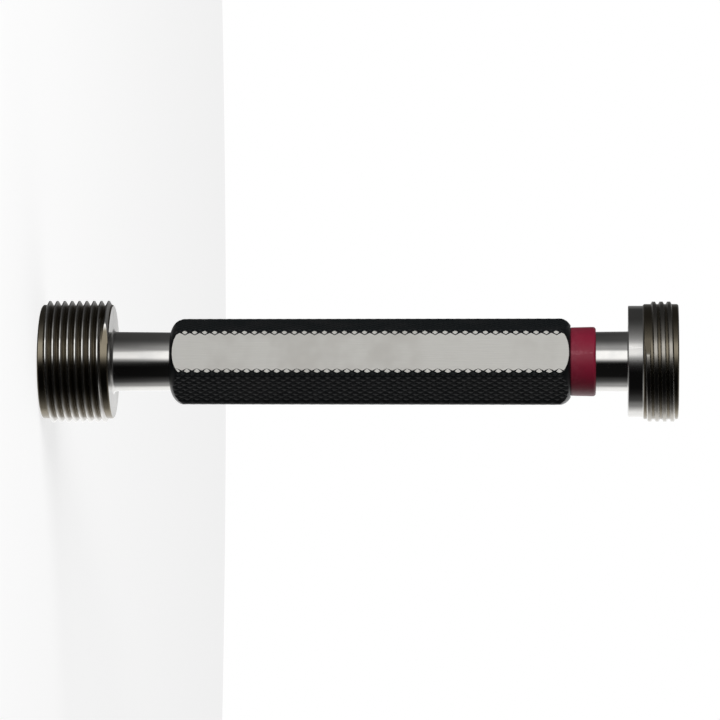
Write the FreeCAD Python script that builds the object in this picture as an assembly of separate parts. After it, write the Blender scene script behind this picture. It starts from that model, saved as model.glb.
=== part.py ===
import FreeCAD, Part
import math
import os

from FreeCAD import Vector

# Double-ended thread plug gauge for an M33 x 2 right-hand internal thread.
#
# The GO member carries a long thread of full form.  The NOT GO member carries a short thread with
# truncated crests behind a plain collar.  Each member is one piece with a 1:50 taper shank, and both
# shanks are driven into taper sockets in a hexagonal handle.  A red ring on the NOT GO shank tells
# the two ends apart.
#
# Frame, in millimetres: the gauge stands on the end face of its GO member.  The origin is the centre
# of that face, +Z runs along the axis towards the NOT GO end, and the handle's ground marking faces
# look along -Y and +Y.

# ---- thread (ISO metric, 60 degrees, right-hand) ----
thread_major_diameter = 33.0
thread_pitch = 2.0
flank_half_angle = 30.0
no_go_pitch_diameter_gain = 0.22
no_go_crest_above_pitch_line = 0.14
no_go_root_below_pitch_line = 0.61

# ---- GO member ----
go_head_length = 19.2
go_exposed_neck = 15.7
go_front_land = 0.46
go_back_land = 0.16
go_thread_start_angle = 72.3

# ---- NOT GO member ----
no_go_thread_length = 9.5
collar_length = 3.8
collar_below_root = 0.45
no_go_exposed_neck = 8.5
no_go_end_chamfer_depth = 0.8
no_go_chamfer_angle = 35.0
no_go_groove_start_angle = 62.7

# ---- what both members share ----
shank_mouth_diameter = 15.8
shank_taper = 1.0 / 50.0
shank_seat_length = 30.0
shank_end_chamfer = 0.6
neck_fillet = 1.0
head_edge_break = 0.3
centre_pilot_diameter = 2.5
centre_pilot_depth = 5.6
centre_mouth_diameter = 5.3
centre_half_angle = 30.0
drill_point_half_angle = 59.0

# ---- handle ----
hexagon_sides = 6
handle_across_flats = 21.0
handle_corner_radius = 2.0
handle_length = 107.1
socket_mouth_land = 0.3
ring_seat_land = 0.55
crown_arc_radius = 5.15
marking_face_depth = 0.3
socket_end_clearance = 2.0
core_hole_diameter = 12.5

# ---- red ring ----
ring_length = 6.7
ring_wall = 1.25
ring_flare = 0.12
ring_outer_edge_radius = 0.8
ring_near_edge_break = 0.2

# ---- how far cutters and joined stock run past the faces they make ----
cutter_overrun = 1.0
groove_cutter_overrun = 0.3
ridge_sunk_in_root = 0.125
length_tolerance = 0.001

# ---- sizes that follow from the values above ----
# The pitch line lies 3/8 and the root 5/8 of the sharp triangle's height below the crest.
triangle_height = thread_pitch / (2 * math.tan(math.radians(flank_half_angle)))
go_crest_radius = thread_major_diameter / 2
go_pitch_radius = go_crest_radius - triangle_height * 3 / 8
go_root_radius = go_crest_radius - triangle_height * 5 / 8
no_go_pitch_radius = go_pitch_radius + no_go_pitch_diameter_gain / 2
no_go_crest_radius = no_go_pitch_radius + no_go_crest_above_pitch_line
no_go_root_radius = no_go_pitch_radius - no_go_root_below_pitch_line
collar_radius = no_go_root_radius - collar_below_root
no_go_head_length = no_go_thread_length + collar_length

handle_start = go_head_length + go_exposed_neck
handle_end = handle_start + handle_length
ring_end = handle_end + ring_length
overall_length = ring_end + no_go_exposed_neck + no_go_head_length
hexagon_corner_distance = handle_across_flats / 2 / math.cos(math.pi / hexagon_sides)
handle_go_end_radius = shank_mouth_diameter / 2 + socket_mouth_land
ring_near_radius = shank_mouth_diameter / 2 + ring_wall
handle_no_go_end_radius = ring_near_radius + ring_seat_land


def shank_radius(outside_mouth):
    """Radius of a shank at a distance outside the mouth of its socket (negative is inside)."""
    return shank_mouth_diameter / 2 + outside_mouth * shank_taper / 2


def revolve(edges):
    """Solid of revolution about Z from profile edges in the XZ plane."""
    face = Part.Face(Part.Wire(edges))
    return face.revolve(Vector(0, 0, 0), Vector(0, 0, 1), 360)


def chain(points):
    """Straight edges from point to point, each point being (radius, height)."""
    corners = [Vector(radius, 0, height) for radius, height in points]
    return [Part.makeLine(start, end) for start, end in zip(corners, corners[1:])]


def quarter_arc(start, end, centre, radius):
    """Arc of a quarter turn about centre in the XZ plane, on the side of the chord's middle."""
    middle = (Vector(start[0], 0, start[1]) + Vector(end[0], 0, end[1])) * 0.5
    pivot = Vector(centre[0], 0, centre[1])
    outward = (middle - pivot).normalize()
    crown = pivot + outward * radius
    return Part.Arc(Vector(start[0], 0, start[1]), crown, Vector(end[0], 0, end[1])).toShape()


def ridge_half_width(radius, pitch_radius):
    """Half the thickness of a thread ridge, measured along the axis, at a radius."""
    slope = math.tan(math.radians(flank_half_angle))
    return thread_pitch / 4 - (radius - pitch_radius) * slope


def helical_bar(profile_points, radius, start_height, end_height, start_angle):
    """Bar whose section is carried along a right-hand helix about Z."""
    helix = Part.makeHelix(thread_pitch, end_height - start_height, radius)
    corners = [Vector(x, 0, z) for x, z in profile_points]
    section = Part.makePolygon(corners + corners[:1])
    bar = Part.Wire(helix.Edges).makePipeShell([section], True, True)
    bar.translate(Vector(0, 0, start_height))
    bar.rotate(Vector(0, 0, 0), Vector(0, 0, 1), start_angle)
    return bar


def centre_hole(face_height, inward):
    """Lathe centre hole in an end face; inward is +1 or -1 along Z."""
    pilot_radius = centre_pilot_diameter / 2
    mouth_radius = centre_mouth_diameter / 2
    cone_depth = (mouth_radius - pilot_radius) / math.tan(math.radians(centre_half_angle))
    point_depth = centre_pilot_depth + pilot_radius / math.tan(math.radians(drill_point_half_angle))
    profile = [
        (0, face_height),
        (mouth_radius, face_height),
        (pilot_radius, face_height + inward * cone_depth),
        (pilot_radius, face_height + inward * centre_pilot_depth),
        (0, face_height + inward * point_depth),
        (0, face_height),
    ]
    return revolve(chain(profile))


def member_blank(head_profile, head_length, exposed_neck):
    """Turned blank of a member standing on its end face, with the head's outline given."""
    neck_top_radius = shank_radius(exposed_neck - neck_fillet)
    fillet_start = (neck_top_radius + neck_fillet, head_length)
    fillet_end = (neck_top_radius, head_length + neck_fillet)
    fillet_centre = (fillet_start[0], fillet_end[1])
    shank_end = head_length + exposed_neck + shank_seat_length
    end_radius = shank_radius(-shank_seat_length)
    outline = chain([(0, shank_end), (0, 0)] + head_profile + [fillet_start])
    outline.append(quarter_arc(fillet_start, fillet_end, fillet_centre, neck_fillet))
    outline += chain([
        fillet_end,
        (shank_radius(-shank_seat_length + shank_end_chamfer), shank_end - shank_end_chamfer),
        (end_radius - shank_end_chamfer, shank_end),
        (0, shank_end),
    ])
    blank = revolve(outline)
    return blank.cut([centre_hole(0, 1), centre_hole(shank_end, -1)])


def thread_end_grind(angle, height):
    """Block that grinds the last of a ridge away, tangent to the root, at an angle and height."""
    reach = go_crest_radius - go_root_radius + cutter_overrun
    half_width = math.sqrt(go_crest_radius ** 2 - go_root_radius ** 2) + cutter_overrun
    block = Part.makeBox(reach, half_width * 2, thread_pitch,
                         Vector(go_root_radius, -half_width, height - thread_pitch / 2))
    block.rotate(Vector(0, 0, 0), Vector(0, 0, 1), angle)
    return block


def make_go_member():
    """GO member: full-form ridge wound on a root-diameter head, both ends of the ridge ground off."""
    head_profile = [
        (go_root_radius - head_edge_break, 0),
        (go_root_radius, head_edge_break),
        (go_root_radius, go_head_length - head_edge_break),
        (go_root_radius - head_edge_break, go_head_length),
    ]
    blank = member_blank(head_profile, go_head_length, go_exposed_neck)

    buried_radius = go_root_radius - ridge_sunk_in_root
    buried_width = ridge_half_width(buried_radius, go_pitch_radius)
    crest_width = ridge_half_width(go_crest_radius, go_pitch_radius)
    root_width = ridge_half_width(go_root_radius, go_pitch_radius)
    ridge_section = [
        (buried_radius, -buried_width),
        (go_crest_radius, -crest_width),
        (go_crest_radius, crest_width),
        (buried_radius, buried_width),
    ]
    first_height = go_front_land + root_width
    last_height = go_head_length - go_back_land - root_width
    ridge = helical_bar(ridge_section, go_pitch_radius, first_height, last_height,
                        go_thread_start_angle)
    turned_angle = 360 * (last_height - first_height) / thread_pitch
    ridge = ridge.cut([
        thread_end_grind(go_thread_start_angle, first_height),
        thread_end_grind(go_thread_start_angle + turned_angle, last_height),
    ])
    return blank.fuse(ridge)


def make_no_go_member():
    """NOT GO member: truncated thread cut between two chamfers, then the plain collar."""
    chamfer_slope = math.tan(math.radians(no_go_chamfer_angle))
    end_face_radius = no_go_crest_radius - no_go_end_chamfer_depth
    outer_chamfer = no_go_end_chamfer_depth / chamfer_slope
    inner_chamfer = (no_go_crest_radius - collar_radius) / chamfer_slope
    head_profile = [
        (end_face_radius - head_edge_break, 0),
        (end_face_radius, head_edge_break),
        (no_go_crest_radius, head_edge_break + outer_chamfer),
        (no_go_crest_radius, no_go_thread_length - inner_chamfer),
        (collar_radius, no_go_thread_length),
        (collar_radius, no_go_head_length - head_edge_break),
        (collar_radius - head_edge_break, no_go_head_length),
    ]
    blank = member_blank(head_profile, no_go_head_length, ring_length + no_go_exposed_neck)

    clear_radius = no_go_crest_radius + groove_cutter_overrun
    floor_width = thread_pitch / 2 - ridge_half_width(no_go_root_radius, no_go_pitch_radius)
    clear_width = thread_pitch / 2 - ridge_half_width(clear_radius, no_go_pitch_radius)
    groove_section = [
        (no_go_root_radius, -floor_width),
        (clear_radius, -clear_width),
        (clear_radius, clear_width),
        (no_go_root_radius, floor_width),
    ]
    groove = helical_bar(groove_section, no_go_pitch_radius, -thread_pitch / 2,
                         no_go_thread_length + thread_pitch / 2, no_go_groove_start_angle)
    member = blank.cut(groove)
    member.rotate(Vector(0, 0, 0), Vector(1, 0, 0), 180)
    member.translate(Vector(0, 0, overall_length))
    return member


def crown_height(radius):
    """Distance along the axis from where the crown leaves the corners to where it has a radius."""
    arc_centre_radius = hexagon_corner_distance - crown_arc_radius
    return math.sqrt(crown_arc_radius ** 2 - (radius - arc_centre_radius) ** 2)


def crown_arc(end_radius, end_height, inward):
    """Profile arc of one crowned end, from the end face to the corners' circle."""
    arc_centre = Vector(hexagon_corner_distance - crown_arc_radius, 0,
                        end_height + inward * crown_height(end_radius))
    start = Vector(end_radius, 0, end_height)
    end = Vector(hexagon_corner_distance, 0, arc_centre.z)
    outward = ((start - arc_centre) + (end - arc_centre)).normalize()
    return Part.Arc(start, arc_centre + outward * crown_arc_radius, end).toShape()


def taper_socket(mouth_height, inward):
    """Cutter for one taper socket; its wall is the shank's own surface."""
    depth = shank_seat_length + socket_end_clearance
    profile = [
        (0, mouth_height),
        (shank_radius(0), mouth_height),
        (shank_radius(-depth), mouth_height + inward * depth),
        (0, mouth_height + inward * depth),
        (0, mouth_height),
    ]
    return revolve(chain(profile))


def make_handle():
    """Hexagon bar with rounded corners, turned crowned ends, two ground marking faces and sockets."""
    corners = []
    for step in range(hexagon_sides):
        corner_angle = 2 * math.pi * step / hexagon_sides
        corners.append(Vector(hexagon_corner_distance * math.cos(corner_angle),
                              hexagon_corner_distance * math.sin(corner_angle), handle_start))
    hexagon = Part.Face(Part.makePolygon(corners + corners[:1]))
    bar = hexagon.extrude(Vector(0, 0, handle_length))
    long_edges = [edge for edge in bar.Edges
                  if abs(edge.Length - handle_length) < length_tolerance]
    bar = bar.makeFillet(handle_corner_radius, long_edges)

    go_crown = crown_arc(handle_go_end_radius, handle_start, 1)
    no_go_crown = crown_arc(handle_no_go_end_radius, handle_end, -1)
    turned_outline = chain([(0, handle_end), (0, handle_start), (handle_go_end_radius, handle_start)])
    turned_outline.append(go_crown)
    turned_outline += chain([
        (hexagon_corner_distance, handle_start + crown_height(handle_go_end_radius)),
        (hexagon_corner_distance, handle_end - crown_height(handle_no_go_end_radius)),
    ])
    turned_outline.append(no_go_crown)
    turned_outline += chain([(handle_no_go_end_radius, handle_end), (0, handle_end)])
    bar = bar.common(revolve(turned_outline))

    marking_distance = handle_across_flats / 2 - marking_face_depth
    cut_height = marking_face_depth + cutter_overrun
    grinds = []
    for near_side in (marking_distance, -marking_distance - cut_height):
        corner = Vector(-handle_across_flats / 2, near_side, handle_start)
        grinds.append(Part.makeBox(handle_across_flats, cut_height, handle_length, corner))

    core = Part.makeCylinder(core_hole_diameter / 2, handle_length, Vector(0, 0, handle_start))
    sockets = [taper_socket(handle_start, 1), taper_socket(handle_end, -1)]
    return bar.cut(grinds + sockets + [core])


def make_red_ring():
    """Marking ring pushed on to the NOT GO shank, against the handle."""
    far_radius = ring_near_radius + ring_flare
    far_side = (far_radius, ring_end - ring_outer_edge_radius)
    far_edge = (far_radius - ring_outer_edge_radius, ring_end)
    outline = chain([
        far_edge,
        (shank_radius(ring_length), ring_end),
        (shank_radius(0), handle_end),
        (ring_near_radius - ring_near_edge_break, handle_end),
        (ring_near_radius, handle_end + ring_near_edge_break),
        far_side,
    ])
    outline.append(quarter_arc(far_side, far_edge, (far_edge[0], far_side[1]),
                               ring_outer_edge_radius))
    return revolve(outline)


pieces = {
    "handle": make_handle(),
    "go_member": make_go_member(),
    "no_go_member": make_no_go_member(),
    "red_ring": make_red_ring(),
}

os.makedirs("parts", exist_ok=True)
for name, piece in pieces.items():
    solid = piece.Solids[0]
    solid.exportStep("parts/" + name + ".step")
    print(name, "volume", round(solid.Volume, 1), "valid", solid.isValid(), "solids", len(piece.Solids))
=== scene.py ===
import math

import bmesh
import bpy
from mathutils import Matrix, Vector


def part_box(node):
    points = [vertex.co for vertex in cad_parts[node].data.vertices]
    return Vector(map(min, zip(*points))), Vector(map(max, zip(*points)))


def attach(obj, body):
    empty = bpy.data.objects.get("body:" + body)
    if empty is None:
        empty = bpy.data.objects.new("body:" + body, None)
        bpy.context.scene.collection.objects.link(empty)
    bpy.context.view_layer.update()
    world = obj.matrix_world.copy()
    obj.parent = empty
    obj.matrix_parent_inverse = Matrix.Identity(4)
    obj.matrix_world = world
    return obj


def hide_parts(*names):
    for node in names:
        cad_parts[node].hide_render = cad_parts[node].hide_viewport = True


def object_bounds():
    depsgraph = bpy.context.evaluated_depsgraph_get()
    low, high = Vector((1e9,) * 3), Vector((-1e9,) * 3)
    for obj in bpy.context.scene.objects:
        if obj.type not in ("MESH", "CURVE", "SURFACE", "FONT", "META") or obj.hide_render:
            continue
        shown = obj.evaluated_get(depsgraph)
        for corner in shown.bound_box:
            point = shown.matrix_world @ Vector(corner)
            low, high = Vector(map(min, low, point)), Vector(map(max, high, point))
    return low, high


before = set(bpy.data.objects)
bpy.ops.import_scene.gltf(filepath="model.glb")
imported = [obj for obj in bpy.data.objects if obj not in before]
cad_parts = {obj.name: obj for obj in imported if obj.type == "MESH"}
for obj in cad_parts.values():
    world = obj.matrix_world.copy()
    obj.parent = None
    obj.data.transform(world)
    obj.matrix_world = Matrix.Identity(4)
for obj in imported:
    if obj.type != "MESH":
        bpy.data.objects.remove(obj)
cad_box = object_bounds()

# A double-ended thread plug gauge: two hardened and ground steel members, a knurled black handle
# with two ground marking faces, and a crimson ring at the NOT GO end.  Sizes below are in
# millimetres and angles in degrees, measured about the gauge's axis from +X.
MM = 0.001

# ---- places read from the frame ----
handle_low, handle_high = (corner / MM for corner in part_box("handle"))
ring_low, ring_high = (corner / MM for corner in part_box("red_ring"))
go_low, go_high = (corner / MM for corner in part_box("go_member"))
no_go_low, no_go_high = (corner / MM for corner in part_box("no_go_member"))

# ---- thread, the same on both members ----
pitch = 2.0
flank_rise = 1 / math.tan(math.radians(30))

# ---- GO member ----
go_crest = go_high.x
go_root = go_crest - 0.625 * pitch * math.sin(math.radians(60))
go_head_length = 19.2
go_ridge_start_angle = 72.3
go_ridge_first_height = 1.21
go_ridge_turns = 8.54
go_root_half = pitch * 3 / 8
go_root_relief = 0.3
relief_run_in = 0.15

# ---- NOT GO member ----
no_go_crest = no_go_high.x - 0.08
no_go_root = no_go_high.x - 0.75
no_go_root_half = 0.78
no_go_ridge_start_angle = -98.0
no_go_ridge_first_height = 162.3
no_go_ridge_turns = 3.55
collar_radius = no_go_root - 0.45
collar_start = 157.2
collar_end = 161.0
shoulder_length = 0.45

# ---- turned details ----
edge_break = 0.3
collar_edge_break = 0.15
go_neck_fillet = 1.0
no_go_neck_fillet = 0.3
shank_end_chamfer = 0.6
shank_mouth_radius = 7.9
shank_taper = 0.01
centre_mouth_radius = 2.65
centre_pilot_radius = 1.25
centre_pilot_depth = 5.6
centre_cone_angle = 30
pilot_point_angle = 59
go_fillet_steps = 6
no_go_fillet_steps = 4
member_columns = 360
turned_sharp_angle = 22

# ---- handle ----
across_flats = 21.0
corner_radius = 2.0
go_crown_radius = 8.2
no_go_crown_radius = 9.7
crown_arc_radius = 5.15
socket_depth = 32.0
core_hole_radius = 6.25
knurl_rows = 39
knurl_pitch = 2.677
knurl_lead_pitches = 2
knurl_first_tip = 37.41
knurl_first_row = 5.42
knurl_steps = 6
knurl_tip_spread = 1.25
knurl_raise = 0.08
knurl_depth_on_faces = 0.28
knurl_depth_at_corners = 0.05
knurl_depth_by_marking_face = 0.52
knurl_corner_start = 4.1
knurl_corner_end = 5.2
knurl_dome_end = 0.35
knurl_pyramid_start = 0.9
knurl_overrun = 1
knurl_sharp_angle = 12
crown_steps = 20
envelope_columns = 240
flat_half = (across_flats / 2 - corner_radius) / math.sqrt(3)
hexagon_side = 2 * flat_half + corner_radius * math.pi / 3
hexagon_perimeter = 6 * hexagon_side
crown_arc_centre = across_flats / math.sqrt(3) - crown_arc_radius

# ---- ring ----
ring_near_radius = 9.15
ring_near_break = 0.2
ring_far_edge = 0.8
ring_edge_steps = 10
ring_columns = 160

# ---- cleaning of meshes ----
merge_distance = 0.0002
smallest_edge = 0.0001
rounding = 1e-9


def shank_radius(outside_mouth):
    """Radius of a taper shank at a distance outside the mouth of its socket."""
    return shank_mouth_radius + outside_mouth * shank_taper


def smooth_step(low, high, value):
    """Eases from 0 at low to 1 at high."""
    ramp = min(1, max(0, (value - low) / (high - low)))
    return ramp * ramp * (3 - 2 * ramp)


def arc_points(centre, radius, start_degrees, end_degrees, steps):
    """Points (radius from the axis, height) on an arc, both ends included."""
    points = []
    for step in range(steps + 1):
        turn = math.radians(start_degrees + (end_degrees - start_degrees) * step / steps)
        points.append((centre[0] + radius * math.cos(turn), centre[1] + radius * math.sin(turn)))
    return points


def stitch(bm, left, right):
    """Faces between two columns; a point that only one of them has joins the face beside it."""
    places = {key: place for place, (key, vertex) in enumerate(right)}
    shared = [(place, places[key]) for place, (key, vertex) in enumerate(left) if key in places]
    for (left_start, right_start), (left_end, right_end) in zip(shared, shared[1:]):
        rising = [vertex for key, vertex in right[right_start:right_end + 1]]
        falling = [vertex for key, vertex in left[left_start:left_end + 1]][::-1]
        corners = list(dict.fromkeys(rising + falling))
        if len(corners) > 2:
            bm.faces.new(corners)


def skin_columns(bm, angles, outline_at):
    """Skins a body turned about the axis. outline_at(angle) gives (key, radius, height) upwards."""
    on_axis = {}
    columns = []
    for angle in angles:
        turn = math.radians(angle)
        column = []
        for key, radius, height in outline_at(angle):
            if radius == 0 and key in on_axis:
                vertex = on_axis[key]
            else:
                place = Vector((radius * math.cos(turn), radius * math.sin(turn), height))
                vertex = bm.verts.new(place * MM)
            if radius == 0:
                on_axis[key] = vertex
            column.append((key, vertex))
        columns.append(column)
    closing = outline_at(angles[0] + 360)
    columns.append([(point[0], vertex) for point, (key, vertex) in zip(closing, columns[0])])
    for left, right in zip(columns, columns[1:]):
        stitch(bm, left, right)


def finish_mesh(bm, name, sharp_degrees):
    """Cleans a mesh, sets its shading and returns a new object with it."""
    bmesh.ops.remove_doubles(bm, verts=bm.verts, dist=merge_distance * MM)
    bmesh.ops.dissolve_degenerate(bm, edges=bm.edges, dist=smallest_edge * MM)
    mesh = bpy.data.meshes.new(name)
    bm.to_mesh(mesh)
    bm.free()
    mesh.shade_smooth()
    mesh.set_sharp_from_angle(angle=math.radians(sharp_degrees))
    piece = bpy.data.objects.new(name, mesh)
    bpy.context.scene.collection.objects.link(piece)
    return piece


def even_angles(start, count):
    """Angles of evenly spaced columns."""
    return [start + 360 * step / count for step in range(count)]


def keyed(name, points):
    """Outline points with a key for each."""
    return [((name, place), radius, height) for place, (radius, height) in enumerate(points)]


def centre_hole(face_height, inward):
    """Outline of a lathe centre hole from the axis out to its mouth."""
    cone_depth = (centre_mouth_radius - centre_pilot_radius) / math.tan(math.radians(centre_cone_angle))
    point_depth = centre_pilot_depth
    point_depth += centre_pilot_radius / math.tan(math.radians(pilot_point_angle))
    return [
        (0, face_height + inward * point_depth),
        (centre_pilot_radius, face_height + inward * centre_pilot_depth),
        (centre_pilot_radius, face_height + inward * cone_depth),
        (centre_mouth_radius, face_height),
    ]


# ---- members ----

def ridge_points(angle, start_angle, first_height, turns, root, crest, root_half, relief):
    """Corners of each turn of a ridge; both of its ends are ground down to a plane at the root."""
    points = []
    for turn in range(-1, math.ceil(turns) + 1):
        wound = (angle - start_angle) / 360 + turn
        if wound < -rounding or wound > turns + rounding:
            continue
        from_end = min(wound, turns - wound) * 2 * math.pi
        top = crest
        if from_end < math.pi / 4:
            top = min(crest, root / math.cos(from_end))
        top_half = root_half - (top - root) / flank_rise
        centre = first_height + pitch * wound
        points += [
            ((turn, 0), root, centre - root_half),
            ((turn, 1), top, centre - top_half),
            ((turn, 2), top, centre + top_half),
            ((turn, 3), root, centre + root_half),
        ]
        groove_left = turns - 1 - wound
        if groove_left > 0:
            depth = relief * smooth_step(0, relief_run_in, min(wound, groove_left))
            points.append(((turn, 4), root - depth, centre + pitch / 2))
    return points


def go_outline(angle):
    """Outline of the GO member at an angle, from its lower centre hole up to the shank's end."""
    top = go_head_length
    mouth = handle_low.z
    fillet = go_neck_fillet
    neck_top = shank_radius(mouth - top - fillet)
    shank_end = go_high.z
    lower = centre_hole(0, 1) + [(go_root - edge_break, 0), (go_root, edge_break)]
    upper = [(go_root, top - edge_break), (go_root - edge_break, top)]
    upper += arc_points((neck_top + fillet, top + fillet), fillet, 270, 180, go_fillet_steps)
    end_radius = shank_radius(mouth - shank_end)
    upper += [
        (shank_mouth_radius, mouth),
        (end_radius, shank_end - shank_end_chamfer),
        (end_radius - shank_end_chamfer, shank_end),
    ]
    upper += centre_hole(shank_end, -1)[::-1]
    ridge = ridge_points(angle, go_ridge_start_angle, go_ridge_first_height, go_ridge_turns,
                         go_root, go_crest, go_root_half, go_root_relief)
    return keyed("lower", lower) + ridge + keyed("upper", upper)


def no_go_outline(angle):
    """Outline of the NOT GO member at an angle, from the shank's end up to the end face."""
    top = no_go_high.z
    shank_end = no_go_low.z
    mouth = handle_high.z
    end_radius = shank_radius(shank_end - mouth)
    fillet = no_go_neck_fillet
    neck_top = shank_radius(collar_start - fillet - mouth)
    lower = centre_hole(shank_end, 1)
    lower += [
        (end_radius - shank_end_chamfer, shank_end),
        (end_radius, shank_end + shank_end_chamfer),
        (shank_mouth_radius, mouth),
    ]
    fillet_centre = (neck_top + fillet, collar_start - fillet)
    lower += arc_points(fillet_centre, fillet, 180, 90, no_go_fillet_steps)
    lower += [
        (collar_radius - collar_edge_break, collar_start),
        (collar_radius, collar_start + collar_edge_break),
        (collar_radius, collar_end),
        (no_go_root, collar_end + shoulder_length),
    ]
    ridge = ridge_points(angle, no_go_ridge_start_angle, no_go_ridge_first_height,
                         no_go_ridge_turns, no_go_root, no_go_crest, no_go_root_half, 0)
    upper = [(no_go_root, top - edge_break), (no_go_root - edge_break, top)]
    upper += centre_hole(top, -1)[::-1]
    return keyed("lower", lower) + ridge + keyed("upper", upper)


def make_member(name, start_angle, turns, outline_at):
    """Member wound column by column; a column is added where its ridge ends."""
    bm = bmesh.new()
    last_angle = start_angle + 360 * (turns % 1)
    angles = sorted(even_angles(start_angle, member_columns) + [last_angle])
    skin_columns(bm, angles, outline_at)
    return finish_mesh(bm, name, turned_sharp_angle)


# ---- handle ----

def round_hexagon(along):
    """Place and outward direction on the rounded hexagon; its face and how far from that middle."""
    face = math.floor(along / hexagon_side + 0.5)
    from_middle = along - face * hexagon_side
    lean = 0
    across = from_middle
    if abs(from_middle) > flat_half:
        lean = math.copysign((abs(from_middle) - flat_half) / corner_radius, from_middle)
        across = math.copysign(flat_half, from_middle)
    outward = Vector((math.sin(lean), -math.cos(lean), 0))
    place = Vector((across, corner_radius - across_flats / 2, 0)) + outward * corner_radius
    spin = Matrix.Rotation(math.radians(60 * face), 3, "Z")
    return spin @ place, spin @ outward, face, from_middle


def knurl_depth(face, from_middle):
    """Depth of the knurl's valleys: deeper at the corners that border a ground marking face."""
    next_face = face + (1 if from_middle > 0 else -1)
    borders_marking_face = face % 3 == 0 or next_face % 3 == 0
    at_corner = knurl_depth_by_marking_face if borders_marking_face else knurl_depth_at_corners
    blend = smooth_step(knurl_corner_start, knurl_corner_end, abs(from_middle))
    return knurl_depth_on_faces + (at_corner - knurl_depth_on_faces) * blend


def knurl_relief(first, second):
    """Fall from a tip, 0, to a valley, 1; the lattice coordinates count along the two families."""
    off_first = first - round(first)
    off_second = second - round(second)
    pyramid = 2 * max(abs(off_first), abs(off_second))
    rise = (off_first + off_second) / 2 * knurl_pitch
    across = (off_first - off_second) / 2 * hexagon_perimeter / knurl_rows
    dome = math.hypot(rise, across) / knurl_tip_spread
    blend = smooth_step(knurl_dome_end, knurl_pyramid_start, pyramid)
    return min(1, dome) * (1 - blend) + pyramid * blend


def make_knurled_bar():
    """Rounded hexagon bar covered in knurl diamonds, wound round it in two crossing families."""
    cell = 2 * knurl_steps
    around = cell * knurl_rows
    lead = cell * knurl_lead_pitches
    row_step = hexagon_perimeter / around
    low = handle_low.z - knurl_overrun
    high = handle_high.z + knurl_overrun
    vertices = {}
    bm = bmesh.new()

    def vertex_at(rise, round_step):
        wraps, step = divmod(round_step, around)
        rise += wraps * lead
        if (rise, step) in vertices:
            return vertices[(rise, step)]
        along = knurl_first_row + row_step * step
        height = knurl_first_tip + knurl_pitch * (rise + lead * step / around) / cell
        relief = knurl_relief((rise + step) / cell, (rise - step) / cell)
        point, outward, face, from_middle = round_hexagon(along)
        point = point + outward * (knurl_raise - knurl_depth(face, from_middle) * relief)
        vertices[(rise, step)] = bm.verts.new(Vector((point.x, point.y, height)) * MM)
        return vertices[(rise, step)]

    first_rise = math.floor((low - knurl_first_tip) / knurl_pitch - knurl_lead_pitches) * cell
    last_rise = math.ceil((high - knurl_first_tip) / knurl_pitch) * cell
    for step in range(around):
        skew = lead * step / around
        for rise in range(first_rise, last_rise):
            if (rise + step) % 2:
                continue
            height = knurl_first_tip + knurl_pitch * (rise + skew) / cell
            if height < low - knurl_pitch or height > high + knurl_pitch:
                continue
            bm.faces.new([vertex_at(rise, step), vertex_at(rise + 1, step + 1),
                          vertex_at(rise + 2, step), vertex_at(rise + 1, step - 1)])
    for height, upwards in ((low, -1), (high, 1)):
        everything = bm.verts[:] + bm.edges[:] + bm.faces[:]
        bmesh.ops.bisect_plane(bm, geom=everything, dist=rounding, plane_co=(0, 0, height * MM),
                               plane_no=(0, 0, upwards), clear_outer=True)
    rims = [edge for edge in bm.edges if edge.is_boundary]
    bmesh.ops.holes_fill(bm, edges=rims, sides=0)
    bmesh.ops.recalc_face_normals(bm, faces=bm.faces)
    return finish_mesh(bm, "handle_knurled", knurl_sharp_angle)


def crown_height(radius):
    """Distance along the axis over which a crown falls from the corners to a radius."""
    return math.sqrt(crown_arc_radius ** 2 - (radius - crown_arc_centre) ** 2)


def turned_outline(angle):
    """Closed outline of the crowns, sockets and core hole, the same at every angle."""
    low, high = handle_low.z, handle_high.z
    steep_low = math.degrees(math.acos((go_crown_radius - crown_arc_centre) / crown_arc_radius))
    steep_high = math.degrees(math.acos((no_go_crown_radius - crown_arc_centre) / crown_arc_radius))
    go_centre = (crown_arc_centre, low + crown_height(go_crown_radius))
    no_go_centre = (crown_arc_centre, high - crown_height(no_go_crown_radius))
    outer = arc_points(go_centre, crown_arc_radius, -steep_low, 0, crown_steps)
    outer += arc_points(no_go_centre, crown_arc_radius, 0, steep_high, crown_steps)
    inner = [
        (shank_mouth_radius, high),
        (shank_radius(-socket_depth), high - socket_depth),
        (core_hole_radius, high - socket_depth),
        (core_hole_radius, low + socket_depth),
        (shank_radius(-socket_depth), low + socket_depth),
        (shank_mouth_radius, low),
    ]
    return keyed("turned", outer + inner + outer[:1])


def make_turned_envelope():
    """Envelope of everything turned, bored or ground on the handle: slot 1 turned, slot 2 ground."""
    bm = bmesh.new()
    skin_columns(bm, even_angles(0, envelope_columns), turned_outline)
    bmesh.ops.remove_doubles(bm, verts=bm.verts, dist=merge_distance * MM)
    for face in bm.faces:
        face.material_index = 1
    for side in (-1, 1):
        everything = bm.verts[:] + bm.edges[:] + bm.faces[:]
        ground = handle_high.y * MM
        bmesh.ops.bisect_plane(bm, geom=everything, dist=rounding, plane_co=(0, side * ground, 0),
                               plane_no=(0, side, 0), clear_outer=True)
        rims = [edge for edge in bm.edges if edge.is_boundary]
        faces = bmesh.ops.holes_fill(bm, edges=rims, sides=0)["faces"]
        for face in faces:
            face.material_index = 2
    bmesh.ops.recalc_face_normals(bm, faces=bm.faces)
    return finish_mesh(bm, "turned_envelope", turned_sharp_angle)


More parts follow.
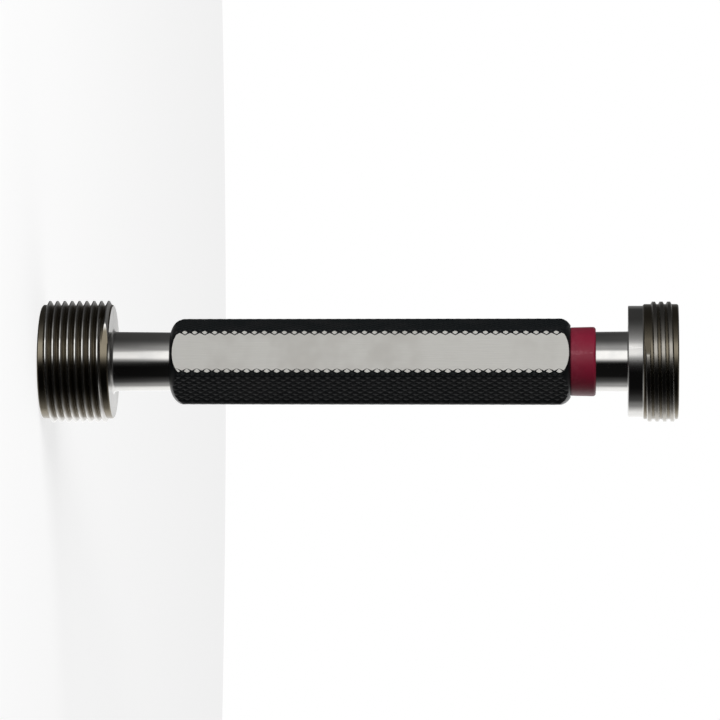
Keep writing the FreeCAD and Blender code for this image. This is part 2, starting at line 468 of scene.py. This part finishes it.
def make_handle(black, turned, ground):
    """Knurled bar cut by the turned and ground envelope."""
    bar = make_knurled_bar()
    envelope = make_turned_envelope()
    for piece in (bar, envelope):
        for material in (black, turned, ground):
            piece.data.materials.append(material)
    cut = bar.modifiers.new("turn_and_grind", "BOOLEAN")
    cut.operation = "INTERSECT"
    cut.solver = "EXACT"
    cut.object = envelope
    mesh = bpy.data.meshes.new_from_object(bar.evaluated_get(bpy.context.evaluated_depsgraph_get()))
    bar.modifiers.clear()
    bar.data = mesh
    bpy.data.objects.remove(envelope)
    mesh.shade_smooth()
    mesh.set_sharp_from_angle(angle=math.radians(knurl_sharp_angle))
    return bar


# ---- ring ----

def ring_outline(angle):
    """Closed outline of the ring, up its outside and down its bore, the same at every angle."""
    low, high = ring_low.z, ring_high.z
    far_radius = ring_high.x
    outer = [
        (ring_near_radius - ring_near_break, low),
        (ring_near_radius, low + ring_near_break),
    ]
    edge_centre = (far_radius - ring_far_edge, high - ring_far_edge)
    outer += arc_points(edge_centre, ring_far_edge, 0, 90, ring_edge_steps)
    inner = [(shank_radius(high - low), high), (shank_mouth_radius, low)]
    return keyed("ring", outer + inner + outer[:1])


def make_ring():
    """Marking ring, bored to the shank's taper."""
    bm = bmesh.new()
    skin_columns(bm, even_angles(0, ring_columns), ring_outline)
    return finish_mesh(bm, "marking_ring", turned_sharp_angle)


# ---- materials ----
# Effects that more than one material uses are groups: fine lines left by turning and grinding,
# wear on edges, and the marks of handling.
steel_colour = (0.63, 0.62, 0.60)
steel_smudged = (0.58, 0.575, 0.56)
steel_worn = (0.74, 0.73, 0.71)
steel_roughness = 0.06
# Painted shade: a dark brown laid over the thread flanks and roots below the crest.
painted_groove_shade_colour = (0.20, 0.175, 0.13)
groove_shade_starts_below_crest = 0.12
groove_shade_full_below_crest = 0.75
thread_starts_above_collar = 0.15
thread_full_above_collar = 0.3
knurl_black = (0.006, 0.008, 0.009)
knurl_black_smudged = (0.010, 0.011, 0.012)
knurl_black_worn = (0.03, 0.03, 0.032)
knurl_roughness = 0.34
crown_black = (0.005, 0.006, 0.007)
crown_black_smudged = (0.009, 0.010, 0.011)
crown_black_worn = (0.05, 0.05, 0.05)
crown_roughness = 0.24
black_shine = 0.25
marking_face_colour = (0.62, 0.61, 0.575)
marking_face_light = (0.72, 0.71, 0.675)
marking_face_smudge = (0.60, 0.585, 0.55)
marking_face_metal = 0.6
marking_face_roughness = 0.42
strokes_per_mm = 9
strokes_per_mm_along = 0.12
crimson_colour = (0.245, 0.012, 0.036)
crimson_smudged = (0.215, 0.012, 0.034)
crimson_worn = (0.33, 0.06, 0.09)
crimson_roughness = 0.34
crimson_shine = 0.4

# Ranges over which an effect comes in.
end_face_slope = (0.8, 0.9)
worn_edge = (0.52, 0.6)
wear_patches = (0.35, 0.7)
least_wear = 0.2
smudge_patches = (0.42, 0.68)
stroke_depths = (0.25, 0.75)
mottle_per_mm = 1.3


def feed(tree, value, socket):
    """Gives a socket a number, a colour or another node's output."""
    if isinstance(value, tuple):
        socket.default_value = (*value, 1)
    elif isinstance(value, (int, float)):
        socket.default_value = value
    else:
        tree.links.new(value, socket)


def math_node(tree, operation, first, second=0):
    """Math node's output for two sockets or values."""
    node = tree.nodes.new("ShaderNodeMath")
    node.operation = operation
    feed(tree, first, node.inputs[0])
    feed(tree, second, node.inputs[1])
    return node.outputs[0]


def weighted(tree, start, *parts):
    """A value plus sockets, each times its amount."""
    total = start
    for socket, amount in parts:
        total = math_node(tree, "ADD", total, math_node(tree, "MULTIPLY", socket, amount))
    return total


def ranged(tree, value, from_range, to_low, to_high, interpolation="SMOOTHSTEP"):
    """Value carried from one range into another and held at its ends."""
    node = tree.nodes.new("ShaderNodeMapRange")
    node.interpolation_type = interpolation
    tree.links.new(value, node.inputs["Value"])
    node.inputs["From Min"].default_value = from_range[0]
    node.inputs["From Max"].default_value = from_range[1]
    node.inputs["To Min"].default_value = to_low
    node.inputs["To Max"].default_value = to_high
    return node.outputs["Result"]


def noise(tree, vector, scale, detail, roughness):
    """Noise value at a vector."""
    node = tree.nodes.new("ShaderNodeTexNoise")
    tree.links.new(vector, node.inputs["Vector"])
    feed(tree, scale, node.inputs["Scale"])
    feed(tree, detail, node.inputs["Detail"])
    feed(tree, roughness, node.inputs["Roughness"])
    return node.outputs["Fac"]


def combined(tree, x, y, z):
    """Vector from three sockets."""
    node = tree.nodes.new("ShaderNodeCombineXYZ")
    for place, value in enumerate((x, y, z)):
        tree.links.new(value, node.inputs[place])
    return node.outputs[0]


def mixed(tree, factor, first, second):
    """Colour mixed between two colours or colour sockets."""
    node = tree.nodes.new("ShaderNodeMix")
    node.data_type = "RGBA"
    tree.links.new(factor, node.inputs["Factor"])
    feed(tree, first, node.inputs["A"])
    feed(tree, second, node.inputs["B"])
    return node.outputs["Result"]


def object_place(tree):
    """X, Y and Z on the piece in millimetres."""
    place = tree.nodes.new("ShaderNodeTexCoord").outputs["Object"]
    split = tree.nodes.new("ShaderNodeSeparateXYZ")
    tree.links.new(place, split.inputs[0])
    return [math_node(tree, "MULTIPLY", split.outputs[axis], 1 / MM) for axis in "XYZ"]


def distance_from_axis(tree, x, y):
    """Distance from the gauge's axis."""
    x_squared = math_node(tree, "MULTIPLY", x, x)
    y_squared = math_node(tree, "MULTIPLY", y, y)
    return math_node(tree, "SQRT", math_node(tree, "ADD", x_squared, y_squared))


def new_group(name, label, value, outputs):
    """Empty node group with one number input and some number outputs."""
    group = bpy.data.node_groups.new(name, "ShaderNodeTree")
    add_input(group, label, value)
    for output in outputs:
        group.interface.new_socket(name=output, in_out="OUTPUT", socket_type="NodeSocketFloat")
    return group, group.nodes.new("NodeGroupInput"), group.nodes.new("NodeGroupOutput")


def add_input(group, label, value):
    """Number input of a group, with its usual value."""
    socket = group.interface.new_socket(name=label, in_out="INPUT", socket_type="NodeSocketFloat")
    socket.default_value = value


def make_lathe_lines():
    """Lines left by turning and grinding about the axis: hoops on outsides, rings on end faces."""
    group, entry, exit_node = new_group("lathe_lines", "Lines per mm", 6, ["Lines", "Facing"])
    add_input(group, "Drift", 0.05)
    x, y, z = object_place(group)
    from_axis = distance_from_axis(group, x, y)
    normal = group.nodes.new("ShaderNodeSeparateXYZ")
    group.links.new(group.nodes.new("ShaderNodeNewGeometry").outputs["Normal"], normal.inputs[0])
    slope = math_node(group, "ABSOLUTE", normal.outputs["Z"])
    facing = ranged(group, slope, end_face_slope, 0, 1)
    outside = math_node(group, "MULTIPLY", z, math_node(group, "SUBTRACT", 1, facing))
    across = math_node(group, "ADD", outside, math_node(group, "MULTIPLY", from_axis, facing))
    spread = math_node(group, "MULTIPLY", across, entry.outputs["Lines per mm"])
    drift_x = math_node(group, "MULTIPLY", x, entry.outputs["Drift"])
    drift_y = math_node(group, "MULTIPLY", y, entry.outputs["Drift"])
    lines = noise(group, combined(group, drift_x, drift_y, spread), 1, 3, 0.6)
    group.links.new(lines, exit_node.inputs["Lines"])
    group.links.new(facing, exit_node.inputs["Facing"])
    return group


def make_edge_wear():
    """Wear on raised edges, broken up by noise."""
    group, entry, exit_node = new_group("edge_wear", "Grain per mm", 1.5, ["Wear"])
    pointed = group.nodes.new("ShaderNodeNewGeometry").outputs["Pointiness"]
    place = combined(group, *object_place(group))
    grain = noise(group, place, entry.outputs["Grain per mm"], 4, 0.65)
    patchy = ranged(group, grain, wear_patches, least_wear, 1)
    wear = math_node(group, "MULTIPLY", ranged(group, pointed, worn_edge, 0, 1), patchy)
    group.links.new(wear, exit_node.inputs["Wear"])
    return group


def make_handling():
    """Marks of handling: broad smudges, and a fine mottle over them."""
    group, entry, exit_node = new_group("handling", "Smudges per mm", 0.08, ["Smudge", "Mottle"])
    place = combined(group, *object_place(group))
    broad = noise(group, place, entry.outputs["Smudges per mm"], 3, 0.6)
    group.links.new(ranged(group, broad, smudge_patches, 0, 1), exit_node.inputs["Smudge"])
    group.links.new(noise(group, place, mottle_per_mm, 4, 0.7), exit_node.inputs["Mottle"])
    return group


lathe_lines = make_lathe_lines()
edge_wear = make_edge_wear()
handling = make_handling()


def use(tree, group, **values):
    """Group node's outputs in a material, with some of its values set."""
    node = tree.nodes.new("ShaderNodeGroup")
    node.node_tree = group
    for label, value in values.items():
        node.inputs[label.replace("_", " ")].default_value = value
    return node.outputs


def new_material(name):
    """Material, its tree and its Principled shader."""
    material = bpy.data.materials.new(name)
    material.use_nodes = True
    return material, material.node_tree, material.node_tree.nodes["Principled BSDF"]


def bumped(tree, shader, height, distance):
    """Bump from a height socket, with its distance in millimetres."""
    node = tree.nodes.new("ShaderNodeBump")
    node.inputs["Distance"].default_value = distance * MM
    tree.links.new(height, node.inputs["Height"])
    tree.links.new(node.outputs[0], shader.inputs["Normal"])


def make_ground_steel():
    """Hardened steel, ground bright; the thread grooves are darkened with painted shade."""
    material, tree, shader = new_material("ground_steel")
    lines = use(tree, lathe_lines, Lines_per_mm=7, Drift=0.04)
    wear = use(tree, edge_wear, Grain_per_mm=1.2)
    marks = use(tree, handling, Smudges_per_mm=0.12)
    x, y, z = object_place(tree)
    from_axis = distance_from_axis(tree, x, y)
    # Painted shade mask: the thread flanks and roots below the crest, on the threads only and not on
    # end faces; it also raises roughness there.
    flank = (go_crest - groove_shade_full_below_crest, go_crest - groove_shade_starts_below_crest)
    below_crest = ranged(tree, from_axis, flank, 1, 0)
    thread = (collar_radius + thread_starts_above_collar, collar_radius + thread_full_above_collar)
    on_thread = ranged(tree, from_axis, thread, 0, 1)
    outside = math_node(tree, "SUBTRACT", 1, lines["Facing"])
    painted_groove_shade = math_node(tree, "MULTIPLY", math_node(tree, "MULTIPLY", below_crest, on_thread), outside)
    bright = mixed(tree, marks["Smudge"], steel_colour, steel_smudged)
    bright = mixed(tree, wear["Wear"], bright, steel_worn)
    shader.inputs["Metallic"].default_value = 1
    tree.links.new(mixed(tree, painted_groove_shade, bright, painted_groove_shade_colour), shader.inputs["Base Color"])
    rough = weighted(tree, steel_roughness, (lines["Lines"], 0.07), (marks["Smudge"], 0.04),
                     (painted_groove_shade, 0.12), (lines["Facing"], 0.1))
    tree.links.new(rough, shader.inputs["Roughness"])
    bumped(tree, shader, math_node(tree, "ADD", lines["Lines"], marks["Mottle"]), 0.0012)
    return material


def make_black_knurl():
    """Black anodised knurl: matt, a little worn and greyer on its tips."""
    material, tree, shader = new_material("black_knurl")
    wear = use(tree, edge_wear, Grain_per_mm=0.9)
    marks = use(tree, handling, Smudges_per_mm=0.1)
    colour = mixed(tree, marks["Smudge"], knurl_black, knurl_black_smudged)
    colour = mixed(tree, wear["Wear"], colour, knurl_black_worn)
    tree.links.new(colour, shader.inputs["Base Color"])
    shader.inputs["Specular IOR Level"].default_value = black_shine
    rough = weighted(tree, knurl_roughness, (marks["Mottle"], 0.2))
    tree.links.new(rough, shader.inputs["Roughness"])
    bumped(tree, shader, marks["Mottle"], 0.01)
    return material


def make_black_turned():
    """Black anodised crown, with turning lines under the black."""
    material, tree, shader = new_material("black_turned")
    lines = use(tree, lathe_lines, Lines_per_mm=5, Drift=0.03)
    wear = use(tree, edge_wear, Grain_per_mm=0.9)
    marks = use(tree, handling, Smudges_per_mm=0.15)
    colour = mixed(tree, marks["Smudge"], crown_black, crown_black_smudged)
    colour = mixed(tree, wear["Wear"], colour, crown_black_worn)
    tree.links.new(colour, shader.inputs["Base Color"])
    shader.inputs["Specular IOR Level"].default_value = black_shine
    rough = weighted(tree, crown_roughness, (lines["Lines"], 0.16))
    tree.links.new(rough, shader.inputs["Roughness"])
    bumped(tree, shader, lines["Lines"], 0.004)
    return material


def make_marking_face():
    """Bare metal ground flat for the marking, with fine straight lines along the handle."""
    material, tree, shader = new_material("ground_marking_face")
    marks = use(tree, handling, Smudges_per_mm=0.07)
    x, y, z = object_place(tree)
    across = math_node(tree, "MULTIPLY", x, strokes_per_mm)
    along = math_node(tree, "MULTIPLY", z, strokes_per_mm_along)
    strokes = noise(tree, combined(tree, across, y, along), 1, 4, 0.65)
    scratch = ranged(tree, strokes, stroke_depths, 0, 1)
    pale = mixed(tree, scratch, marking_face_colour, marking_face_light)
    pale = mixed(tree, marks["Smudge"], pale, marking_face_smudge)
    tree.links.new(pale, shader.inputs["Base Color"])
    shader.inputs["Metallic"].default_value = marking_face_metal
    rough = weighted(tree, marking_face_roughness, (scratch, 0.12))
    tree.links.new(rough, shader.inputs["Roughness"])
    bumped(tree, shader, strokes, 0.004)
    return material


def make_crimson():
    """Satin crimson plastic with a fine moulded grain; scuffed paler on its edges."""
    material, tree, shader = new_material("crimson_plastic")
    wear = use(tree, edge_wear, Grain_per_mm=1.0)
    marks = use(tree, handling, Smudges_per_mm=0.2)
    colour = mixed(tree, marks["Smudge"], crimson_colour, crimson_smudged)
    colour = mixed(tree, wear["Wear"], colour, crimson_worn)
    tree.links.new(colour, shader.inputs["Base Color"])
    shader.inputs["Specular IOR Level"].default_value = crimson_shine
    rough = weighted(tree, crimson_roughness, (marks["Mottle"], 0.16))
    tree.links.new(rough, shader.inputs["Roughness"])
    bumped(tree, shader, marks["Mottle"], 0.006)
    return material


# ---- build ----

go_piece = make_member("go_member_steel", go_ridge_start_angle, go_ridge_turns, go_outline)
no_go_piece = make_member("no_go_member_steel", no_go_ridge_start_angle, no_go_ridge_turns,
                          no_go_outline)
steel = make_ground_steel()
go_piece.data.materials.append(steel)
no_go_piece.data.materials.append(steel)
handle_piece = make_handle(make_black_knurl(), make_black_turned(), make_marking_face())
ring_piece = make_ring()
ring_piece.data.materials.append(make_crimson())

for piece, node, slot in (
    (go_piece, "go_member", "gauge_steel"),
    (no_go_piece, "no_go_member", "gauge_steel"),
    (handle_piece, "handle", "black_handle"),
    (ring_piece, "red_ring", "red_ring"),
):
    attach(piece, "root")
    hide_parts(node)


# ---- studio ----
# The camera looks at the gauge from one side, rolled so that the axis runs across the picture.
# Turns are measured about the axis from the camera: positive towards the top of the picture.
# Lengths in the studio are in metres.
camera_side = 14.7
camera_distance = 1.2
camera_height = 0.149
camera_down = 7.57
camera_lift = 0.00043
camera_lens = 222.59
camera_shift = 0.4926
camera_sensor = 36
nearest_seen = 0.05
farthest_seen = 20
camera_azimuth = math.radians(camera_side)
towards_camera = Vector((math.sin(camera_azimuth), -math.cos(camera_azimuth), 0))
picture_up = towards_camera.cross(Vector((0, 0, 1)))


def make_camera():
    """Long lens, shifted so that it looks straight at the gauge's middle."""
    tilt = math.radians(camera_down)
    backward = towards_camera * math.cos(tilt) + Vector((0, 0, math.sin(tilt)))
    right = Vector((0, 0, math.cos(tilt))) - towards_camera * math.sin(tilt)
    up = backward.cross(right)
    camera = bpy.data.objects.new("camera", bpy.data.cameras.new("camera"))
    bpy.context.scene.collection.objects.link(camera)
    place = towards_camera * camera_distance + picture_up * camera_lift
    place.z = camera_height
    turned = Matrix((right, up, backward)).transposed().to_4x4()
    camera.matrix_world = Matrix.Translation(place) @ turned
    camera.data.sensor_width = camera_sensor
    camera.data.lens = camera_lens
    camera.data.shift_x = camera_shift
    camera.data.clip_start = nearest_seen
    camera.data.clip_end = farthest_seen
    bpy.context.scene.camera = camera


# Brightness of the studio all round the gauge, by turn, as the GO side, the NOT GO side and
# surfaces that look along the axis see it.
go_walls = [
    (-180, 0.75), (-174, 1.2), (-122, 1.3), (-115, 0.8), (-108, 0.4), (-102, 0.48), (-92, 0.3),
    (-85, 0.14), (-78, 0.08), (-65, 0.03), (-60, 0.008), (-7, 0.006), (-3, 0.06), (0, 0.16),
    (4, 0.5), (8, 1.0), (13, 1.5), (40, 1.55), (44, 0.8), (47, 0.5), (60, 0.46), (69, 0.3),
    (82, 0.14), (92, 0.09), (145, 0.07), (166, 0.12), (176, 0.4), (180, 0.75),
]
no_go_walls = [
    (-180, 0.75), (-174, 1.2), (-129, 1.24), (-113, 0.6), (-105, 0.3), (-97, 0.25), (-88, 0.07),
    (-69, 0.014), (-57, 0.005), (-20, 0.004), (-10, 0.02), (-2, 0.08), (2.5, 0.25), (8, 0.5),
    (13, 1.05), (16, 1.25), (35, 1.1), (38, 0.7), (43, 0.46), (52, 0.3), (60, 0.2), (68, 0.14),
    (84, 0.07), (98, 0.045), (139, 0.05), (150, 0.14), (166, 0.2), (176, 0.4), (180, 0.75),
]
side_change = (-0.1, 0.0)
end_wall_rise = (0.45, 0.7)
end_walls = [(-180, 0.5), (-125, 0.5), (-85, 0.1), (-60, 0.03), (60, 0.08), (150, 0.1), (180, 0.5)]


def turn_ramp(tree, turn_socket, stops):
    """Brightness all round the gauge, from (turn, brightness) stops."""
    ramp = tree.nodes.new("ShaderNodeValToRGB")
    tree.links.new(turn_socket, ramp.inputs[0])
    elements = ramp.color_ramp.elements
    while len(elements) > 1:
        elements.remove(elements[-1])
    for place, (turn, brightness) in enumerate(stops):
        stop = elements[0] if place == 0 else elements.new(turn / 360 + 0.5)
        stop.position = turn / 360 + 0.5
        stop.color = (brightness, brightness, brightness, 1)
    return ramp.outputs["Color"]


def make_world():
    """Studio seen by direction: walls round the gauge, its two ends, and white for the camera."""
    world = bpy.data.worlds.new("studio")
    bpy.context.scene.world = world
    world.use_nodes = True
    tree = world.node_tree
    tree.nodes.clear()
    parts = tree.nodes.new("ShaderNodeSeparateXYZ")
    tree.links.new(tree.nodes.new("ShaderNodeTexCoord").outputs["Generated"], parts.inputs[0])
    azimuth = math_node(tree, "ARCTAN2", parts.outputs["Y"], parts.outputs["X"])
    turns = math_node(tree, "MULTIPLY", azimuth, -1 / (2 * math.pi))
    turns = math_node(tree, "ADD", turns, (camera_side - 90) / 360 + 0.5)
    turn = math_node(tree, "FRACT", turns)
    go_side = turn_ramp(tree, turn, go_walls)
    no_go_side = turn_ramp(tree, turn, no_go_walls)
    change = ranged(tree, parts.outputs["Z"], side_change, 0, 1, "LINEAR")
    sides = mixed(tree, change, go_side, no_go_side)
    steepness = math_node(tree, "ABSOLUTE", parts.outputs["Z"])
    rise = ranged(tree, steepness, end_wall_rise, 0, 1)
    walls = mixed(tree, rise, sides, turn_ramp(tree, turn, end_walls))
    camera_ray = tree.nodes.new("ShaderNodeLightPath").outputs["Is Camera Ray"]
    background = tree.nodes.new("ShaderNodeBackground")
    tree.links.new(mixed(tree, camera_ray, walls, (1, 1, 1)), background.inputs["Color"])
    output = tree.nodes.new("ShaderNodeOutputWorld")
    tree.links.new(background.outputs[0], output.inputs["Surface"])


floor_radius = 0.6
floor_segments = 96
floor_gap = 0.00005
floor_grey = (0.5, 0.5, 0.5, 1)
floor_glow = (0.7, 0.7, 0.7, 1)


def make_floor():
    """Pale round floor just under the gauge; it keeps the shadow and glows for the camera alone."""
    bm = bmesh.new()
    bmesh.ops.create_circle(bm, cap_ends=True, segments=floor_segments, radius=floor_radius)
    mesh = bpy.data.meshes.new("floor")
    bm.to_mesh(mesh)
    bm.free()
    floor = bpy.data.objects.new("floor", mesh)
    floor.location.z = cad_box[0].z - floor_gap
    bpy.context.scene.collection.objects.link(floor)
    floor.visible_glossy = False
    material = bpy.data.materials.new("pale_floor")
    material.use_nodes = True
    tree = material.node_tree
    tree.nodes.clear()
    diffuse = tree.nodes.new("ShaderNodeBsdfDiffuse")
    diffuse.inputs["Color"].default_value = floor_grey
    glow = tree.nodes.new("ShaderNodeEmission")
    glow.inputs["Color"].default_value = floor_glow
    path = tree.nodes.new("ShaderNodeLightPath")
    both = tree.nodes.new("ShaderNodeAddShader")
    output = tree.nodes.new("ShaderNodeOutputMaterial")
    tree.links.new(path.outputs["Is Camera Ray"], glow.inputs["Strength"])
    tree.links.new(diffuse.outputs[0], both.inputs[0])
    tree.links.new(glow.outputs[0], both.inputs[1])
    tree.links.new(both.outputs[0], output.inputs["Surface"])
    mesh.materials.append(material)


def make_lamp(name, turn, height, distance, size, power):
    """Soft square lamp aimed at the gauge's middle, at a turn from the camera."""
    middle = Vector((0, 0, (cad_box[0].z + cad_box[1].z) / 2))
    side = towards_camera * math.cos(math.radians(turn)) + picture_up * math.sin(math.radians(turn))
    data = bpy.data.lights.new(name, "AREA")
    data.size = size
    data.energy = power
    lamp = bpy.data.objects.new(name, data)
    bpy.context.scene.collection.objects.link(lamp)
    lamp.location = middle + side * distance + Vector((0, 0, height))
    lamp.rotation_mode = "QUATERNION"
    lamp.rotation_quaternion = (lamp.location - middle).to_track_quat("Z", "Y")
    lamp.visible_glossy = False


make_camera()
make_world()
make_floor()
make_lamp("key_lamp", turn=45, height=0.5, distance=0.9, size=0.7, power=6)
bpy.context.scene.view_settings.view_transform = "Standard"
